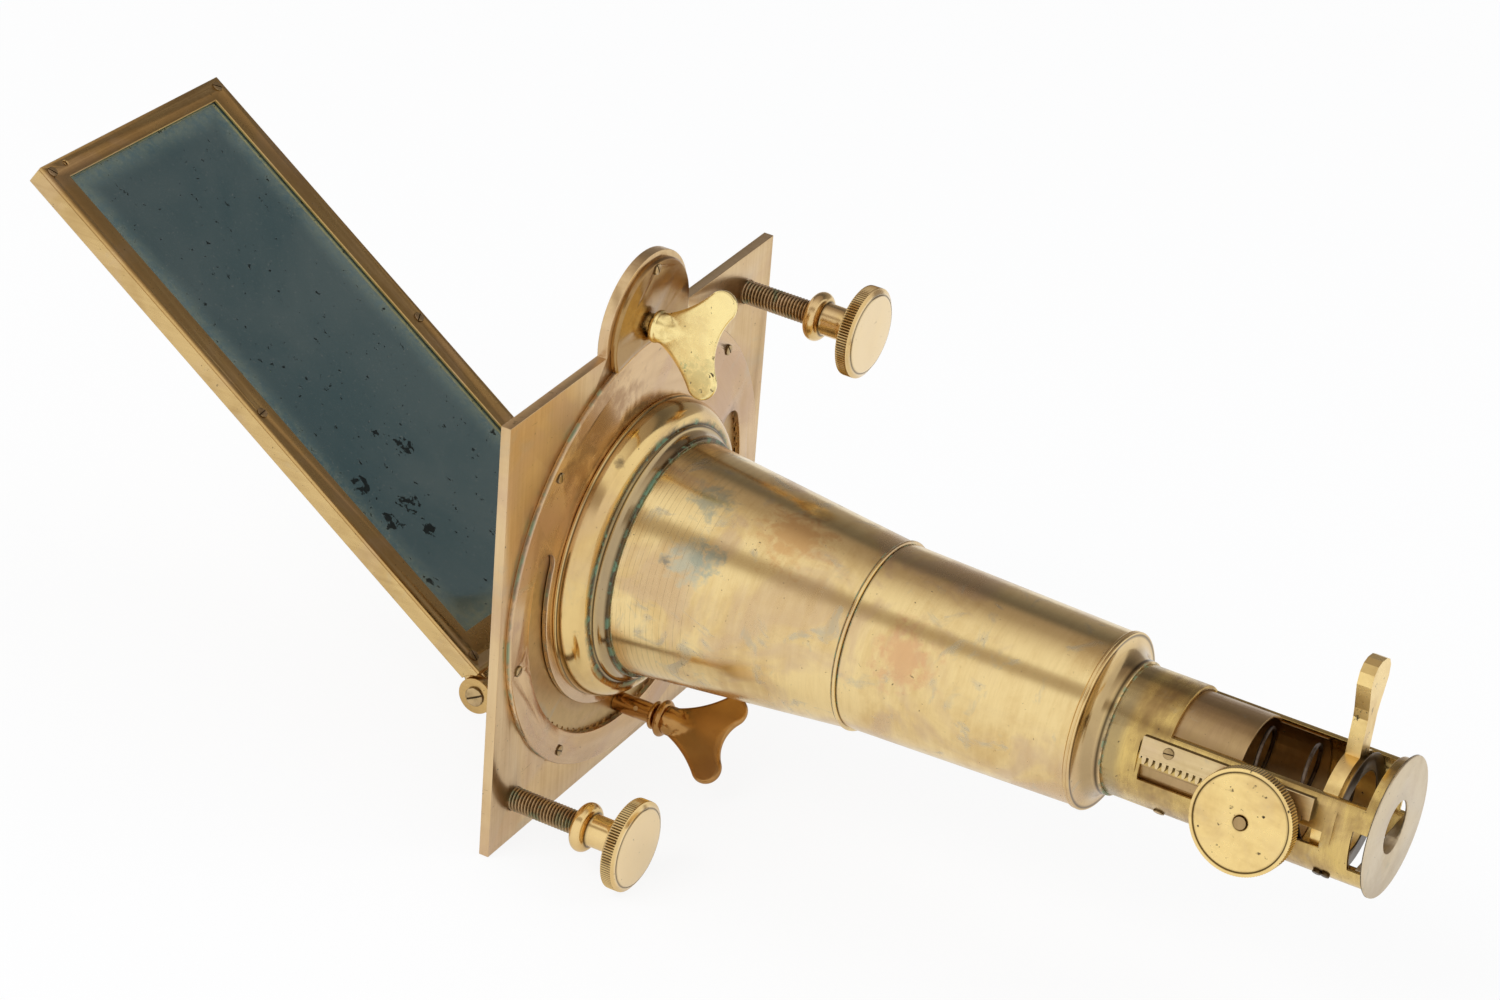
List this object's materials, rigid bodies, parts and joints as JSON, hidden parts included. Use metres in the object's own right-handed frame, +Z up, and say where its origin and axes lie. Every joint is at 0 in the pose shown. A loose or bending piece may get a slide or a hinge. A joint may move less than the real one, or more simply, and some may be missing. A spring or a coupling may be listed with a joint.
{
  "type": "solar microscope",
  "caption": "Square window-shutter plate with a geared tilting mirror behind it and a tapering condenser tube, rack-focused inner tube and spring slider stage in front.",
  "frame": {"origin": "centre of the shutter plate's rear face, on the optical axis, midway between the two clamp screws", "axes": "+X along the optical axis from the shutter plate towards the nose, +Z up as fixed in the window, +Y away from the side that carries the focus knob"},
  "size_m": [0.424, 0.14, 0.1634],
  "materials": {
    "sanded_brass": "satin",
    "brushed_brass": "satin",
    "polished_brass": "polished",
    "lacquered_brass": "satin",
    "dark_brass": "satin",
    "gear_brass": "satin",
    "screw_brass": "satin",
    "thread_brass": "satin",
    "black_brass": "matte",
    "spring_steel": "satin",
    "mirror_glass": "polished",
    "lens_glass": "polished"
  },
  "bodies": {
    "instrument": {"shutter_plate": "sanded_brass", "front_disc": "brushed_brass", "ear_cover": "brushed_brass", "cover_screws": "screw_brass", "retaining_ring": "brushed_brass", "ring_screws": "screw_brass", "base_moulding": "polished_brass", "condenser_lens": "lens_glass", "condenser_ring": "brushed_brass", "lower_tube": "lacquered_brass", "upper_tube": "lacquered_brass", "tube_cap": "polished_brass", "nose_sleeve": "lacquered_brass", "sleeve_screw": "screw_brass", "sleeve_stud": "screw_brass", "rack_bar": "gear_brass", "rack_screws": "screw_brass", "end_disc": "sanded_brass"},
    "rotor": {"rotor": "gear_brass", "near_cock": "dark_brass", "far_cock": "dark_brass", "cock_screws": "screw_brass", "pivot_screws": "screw_brass", "worm_yoke": "dark_brass", "yoke_screws": "screw_brass"},
    "turning_key": {"turn_key": "polished_brass", "turn_pinion": "gear_brass"},
    "tilting_key": {"worm": "gear_brass", "tilt_key": "polished_brass", "tilt_pin": "screw_brass"},
    "mirror": {"mirror_tray": "dark_brass", "mirror_glass": "mirror_glass", "mirror_bezel": "dark_brass", "bezel_screws": "screw_brass", "worm_sector": "gear_brass", "sector_screws": "screw_brass"},
    "upper_rod": {"upper_clamp_rod": "thread_brass"},
    "upper_head": {"upper_clamp_head": "polished_brass"},
    "lower_rod": {"lower_clamp_rod": "thread_brass"},
    "lower_head": {"lower_clamp_head": "polished_brass"},
    "focus": {"focus_tube": "dark_brass", "field_lens": "lens_glass", "field_ring": "brushed_brass", "pinion_bearing": "dark_brass", "stage_spring": "spring_steel"},
    "focus_key": {"focus_pinion": "gear_brass", "focus_knob": "polished_brass"},
    "stage": {"pressure_plate": "brushed_brass", "stage_disc": "black_brass"}
  },
  "joints": [
    {"name": "rotor_turn", "type": "hinge", "parent": "instrument", "child": "rotor", "pos_m": [0, 0, 0], "axis": [1, 0, 0], "range_deg": [-102, 108]},
    {"name": "key_turn", "type": "hinge", "parent": "instrument", "child": "turning_key", "pos_m": [0, 0, 0.072], "axis": [1, 0, 0], "range_deg": [-433, 409]},
    {"name": "mirror_tilt", "type": "hinge", "parent": "rotor", "child": "mirror", "pos_m": [-0.019, -0.00207, -0.03945], "axis": [0, 0.9986, -0.0523], "range_deg": [-28, 46]},
    {"name": "tilt_key_turn", "type": "hinge", "parent": "rotor", "child": "tilting_key", "pos_m": [0, -0.00275, -0.05243], "axis": [1, 0, 0], "range_deg": [-673, 1105]},
    {"name": "upper_rod_slide", "type": "slide", "parent": "instrument", "child": "upper_rod", "axis": [1, 0, 0], "range_m": [-0.018, 0.002]},
    {"name": "upper_head_turn", "type": "hinge", "parent": "upper_rod", "child": "upper_head", "pos_m": [0, 0.057, 0.057], "axis": [1, 0, 0], "range_deg": [-6172, 686]},
    {"name": "lower_rod_slide", "type": "slide", "parent": "instrument", "child": "lower_rod", "axis": [1, 0, 0], "range_m": [-0.018, 0.002]},
    {"name": "lower_head_turn", "type": "hinge", "parent": "lower_rod", "child": "lower_head", "pos_m": [0, -0.057, -0.057], "axis": [1, 0, 0], "range_deg": [-6172, 686]},
    {"name": "focus_slide", "type": "slide", "parent": "instrument", "child": "focus", "axis": [1, 0, 0], "range_m": [-0.028, 0.003], "deforming": ["stage_spring"]},
    {"name": "pinion_turn", "type": "hinge", "parent": "focus", "child": "focus_key", "pos_m": [0.209, -0.02044, 0.00101], "axis": [0, 0.9659, -0.2588], "range_deg": [-46, 421]},
    {"name": "stage_slide", "type": "slide", "parent": "instrument", "child": "stage", "axis": [1, 0, 0], "range_m": [-0.006, 0], "stiffness_N_per_m": 150, "deforming": ["stage_spring"]}
  ],
  "couplings": [
    {"joint": "key_turn", "follows": "rotor_turn", "ratio": -4},
    {"joint": "tilt_key_turn", "follows": "mirror_tilt", "ratio": 24},
    {"joint": "upper_head_turn", "follows": "upper_rod_slide", "rad_per_m": 5984},
    {"joint": "lower_head_turn", "follows": "lower_rod_slide", "rad_per_m": 5984},
    {"joint": "pinion_turn", "follows": "focus_slide", "rad_per_m": -261.8}
  ]
}
